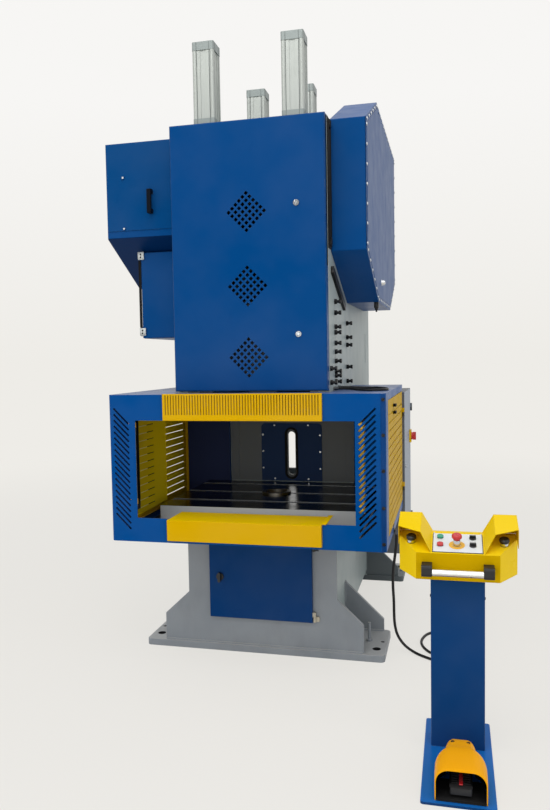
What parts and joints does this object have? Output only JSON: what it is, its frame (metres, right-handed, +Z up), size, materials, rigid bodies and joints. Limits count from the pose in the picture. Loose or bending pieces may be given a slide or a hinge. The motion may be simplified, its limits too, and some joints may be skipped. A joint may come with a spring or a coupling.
{
  "type": "mechanical stamping press",
  "caption": "Upright press with a C-shaped frame, crank-driven slide over a slotted table, box guard, belt drive and a free-standing two-hand control stand with pedal.",
  "frame": {"origin": "centre of the four anchor holes, on the floor", "axes": "+Z up, +X to the operator's right, +Y from the operator to the back"},
  "size_m": [2.239, 3.193, 3.448],
  "materials": {
    "frame_grey": "semi-gloss paint",
    "door_blue": "gloss paint",
    "guard_blue": "gloss paint",
    "press_yellow": "gloss paint",
    "stand_yellow": "gloss paint",
    "pedal_orange": "gloss paint",
    "stand_blue": "semi-gloss paint",
    "cabinet_grey": "fine textured paint",
    "ground_steel": "ground",
    "bright_steel": "turned",
    "dark_iron": "cast",
    "bearing_bronze": "machined",
    "barrel_aluminium": "anodised",
    "panel_white": "satin paint",
    "black_steel": "blackened",
    "polished_metal": "polished",
    "black_plastic": "moulded",
    "red_plastic": "moulded",
    "green_plastic": "moulded",
    "blue_plastic": "moulded",
    "cable_rubber": "smooth jacket"
  },
  "bodies": {
    "frame": {"feet": "frame_grey", "front_column": "frame_grey", "side_plate_left": "frame_grey", "side_plate_right": "frame_grey", "bed_plate": "frame_grey", "rear_plate": "frame_grey", "cross_members": "frame_grey", "top_deck": "frame_grey", "bolster": "ground_steel", "throat_cover": "guard_blue", "crankshaft": "bright_steel", "crank_bushes": "bearing_bronze", "rod_cap": "dark_iron", "slide_gibs": "ground_steel", "gib_screws": "black_steel", "counterbalance_cylinders": "barrel_aluminium", "drive_belts": "cable_rubber", "motor": "frame_grey", "drive_cover": "door_blue", "left_housing": "door_blue", "left_access_panel": "door_blue", "control_cabinet": "door_blue", "guard_shell": "guard_blue", "light_curtains": "press_yellow", "slotted_cover": "press_yellow", "shelf_cover": "press_yellow", "electrical_cabinet": "cabinet_grey", "hinge_knuckles": "black_steel", "stand_column": "stand_blue", "control_head": "stand_yellow", "control_panel": "panel_white", "stand_handle": "polished_metal", "foot_switch": "pedal_orange", "cable": "cable_rubber", "air_hose": "cable_rubber", "line_fittings": "black_steel"},
    "main_door": {"main_door": "door_blue"},
    "upper_key": {"upper_key": "polished_metal"},
    "lower_key": {"lower_key": "polished_metal"},
    "base_door": {"base_door": "door_blue"},
    "base_latch": {"base_door_latch": "black_plastic"},
    "guard_door_left": {"guard_door_left": "press_yellow"},
    "guard_door_right": {"guard_door_right": "press_yellow"},
    "control_cabinet_door": {"control_cabinet_door": "door_blue"},
    "slide": {"slide": "dark_iron", "connecting_rod": "dark_iron", "adjusting_screw": "bright_steel", "piston_rods": "bright_steel"},
    "flywheel": {"flywheel": "dark_iron"},
    "motor_pulley": {"motor_pulley": "dark_iron"},
    "electrical_door": {"electrical_door": "cabinet_grey"},
    "main_switch": {"main_switch": "red_plastic"},
    "palm_button_left": {"palm_button_left": "black_plastic"},
    "palm_button_right": {"palm_button_right": "black_plastic"},
    "start_button": {"start_button": "green_plastic"},
    "stop_button": {"stop_button": "red_plastic"},
    "emergency_stop": {"emergency_stop": "red_plastic"},
    "mode_switch": {"mode_switch": "black_plastic"},
    "light_switch": {"light_switch": "black_plastic"},
    "foot_pedal": {"foot_pedal": "black_plastic"}
  },
  "joints": [
    {"name": "main_door_swing", "type": "hinge", "parent": "frame", "child": "main_door", "pos_m": [-0.4415, -1.045, 2.25], "axis": [0, 0, 1], "range_deg": [-105, 0]},
    {"name": "upper_key_turn", "type": "hinge", "parent": "main_door", "child": "upper_key", "pos_m": [0.276, -1.1, 2.528], "axis": [0, 1, 0], "range_deg": [0, 90]},
    {"name": "lower_key_turn", "type": "hinge", "parent": "main_door", "child": "lower_key", "pos_m": [0.279, -1.1, 1.833], "axis": [0, 1, 0], "range_deg": [0, 90]},
    {"name": "base_door_swing", "type": "hinge", "parent": "frame", "child": "base_door", "pos_m": [0.317, -0.948, 0.44], "axis": [0, 0, 1], "range_deg": [0, 110]},
    {"name": "base_latch_turn", "type": "hinge", "parent": "base_door", "child": "base_latch", "pos_m": [-0.239, -0.95, 0.442], "axis": [0, 1, 0], "range_deg": [0, 90]},
    {"name": "guard_door_left_swing", "type": "hinge", "parent": "frame", "child": "guard_door_left", "pos_m": [-0.764, -0.097, 1.1], "axis": [0, 0, 1], "range_deg": [-100, 0]},
    {"name": "guard_door_right_swing", "type": "hinge", "parent": "frame", "child": "guard_door_right", "pos_m": [0.764, -0.097, 1.1], "axis": [0, 0, 1], "range_deg": [0, 100]},
    {"name": "control_door_swing", "type": "hinge", "parent": "frame", "child": "control_cabinet_door", "pos_m": [-0.735, -0.842, 2.09], "axis": [0, 0, 1], "range_deg": [-110, 0]},
    {"name": "slide_stroke", "type": "slide", "parent": "frame", "child": "slide", "axis": [0, 0, 1], "range_m": [-0.16, 0]},
    {"name": "flywheel_spin", "type": "hinge", "parent": "frame", "child": "flywheel", "pos_m": [0.54, -0.51, 2.6], "axis": [1, 0, 0], "continuous": true},
    {"name": "motor_spin", "type": "hinge", "parent": "frame", "child": "motor_pulley", "pos_m": [0.54, 0.65, 2.45], "axis": [1, 0, 0], "continuous": true},
    {"name": "electrical_door_swing", "type": "hinge", "parent": "frame", "child": "electrical_door", "pos_m": [0.775, 0.586, 0.93], "axis": [0, 0, 1], "range_deg": [0, 110]},
    {"name": "main_switch_turn", "type": "hinge", "parent": "electrical_door", "child": "main_switch", "pos_m": [0.77, 0.465, 1.125], "axis": [1, 0, 0], "range_deg": [0, 90]},
    {"name": "palm_left_push", "type": "slide", "parent": "frame", "child": "palm_button_left", "axis": [0, 0.3004, -0.9538], "range_m": [0, 0.005], "stiffness_N_per_m": 700, "springref_m": -0.003},
    {"name": "palm_right_push", "type": "slide", "parent": "frame", "child": "palm_button_right", "axis": [0, 0.3004, -0.9538], "range_m": [0, 0.005], "stiffness_N_per_m": 700, "springref_m": -0.003},
    {"name": "start_push", "type": "slide", "parent": "frame", "child": "start_button", "axis": [0, 0.3004, -0.9538], "range_m": [0, 0.003], "stiffness_N_per_m": 700, "springref_m": -0.003},
    {"name": "stop_push", "type": "slide", "parent": "frame", "child": "stop_button", "axis": [0, 0.3004, -0.9538], "range_m": [0, 0.003], "stiffness_N_per_m": 700, "springref_m": -0.003},
    {"name": "emergency_stop_push", "type": "slide", "parent": "frame", "child": "emergency_stop", "axis": [0, 0.3004, -0.9538], "range_m": [0, 0.006], "stiffness_N_per_m": 900, "springref_m": -0.003},
    {"name": "mode_switch_turn", "type": "hinge", "parent": "frame", "child": "mode_switch", "pos_m": [1.165, -1.765, 0.91623], "axis": [0, -0.3004, 0.9538], "range_deg": [-45, 45]},
    {"name": "light_switch_turn", "type": "hinge", "parent": "frame", "child": "light_switch", "pos_m": [1.165, -1.822, 0.89827], "axis": [0, -0.3004, 0.9538], "range_deg": [-45, 45]},
    {"name": "pedal_press", "type": "hinge", "parent": "frame", "child": "foot_pedal", "pos_m": [1.112, -2.038, 0.044], "axis": [1, 0, 0], "range_deg": [0, 5], "stiffness_Nm_per_rad": 12, "springref_deg": -11.46}
  ],
  "couplings": [
    {"joint": "motor_spin", "follows": "flywheel_spin", "ratio": 3.985}
  ]
}
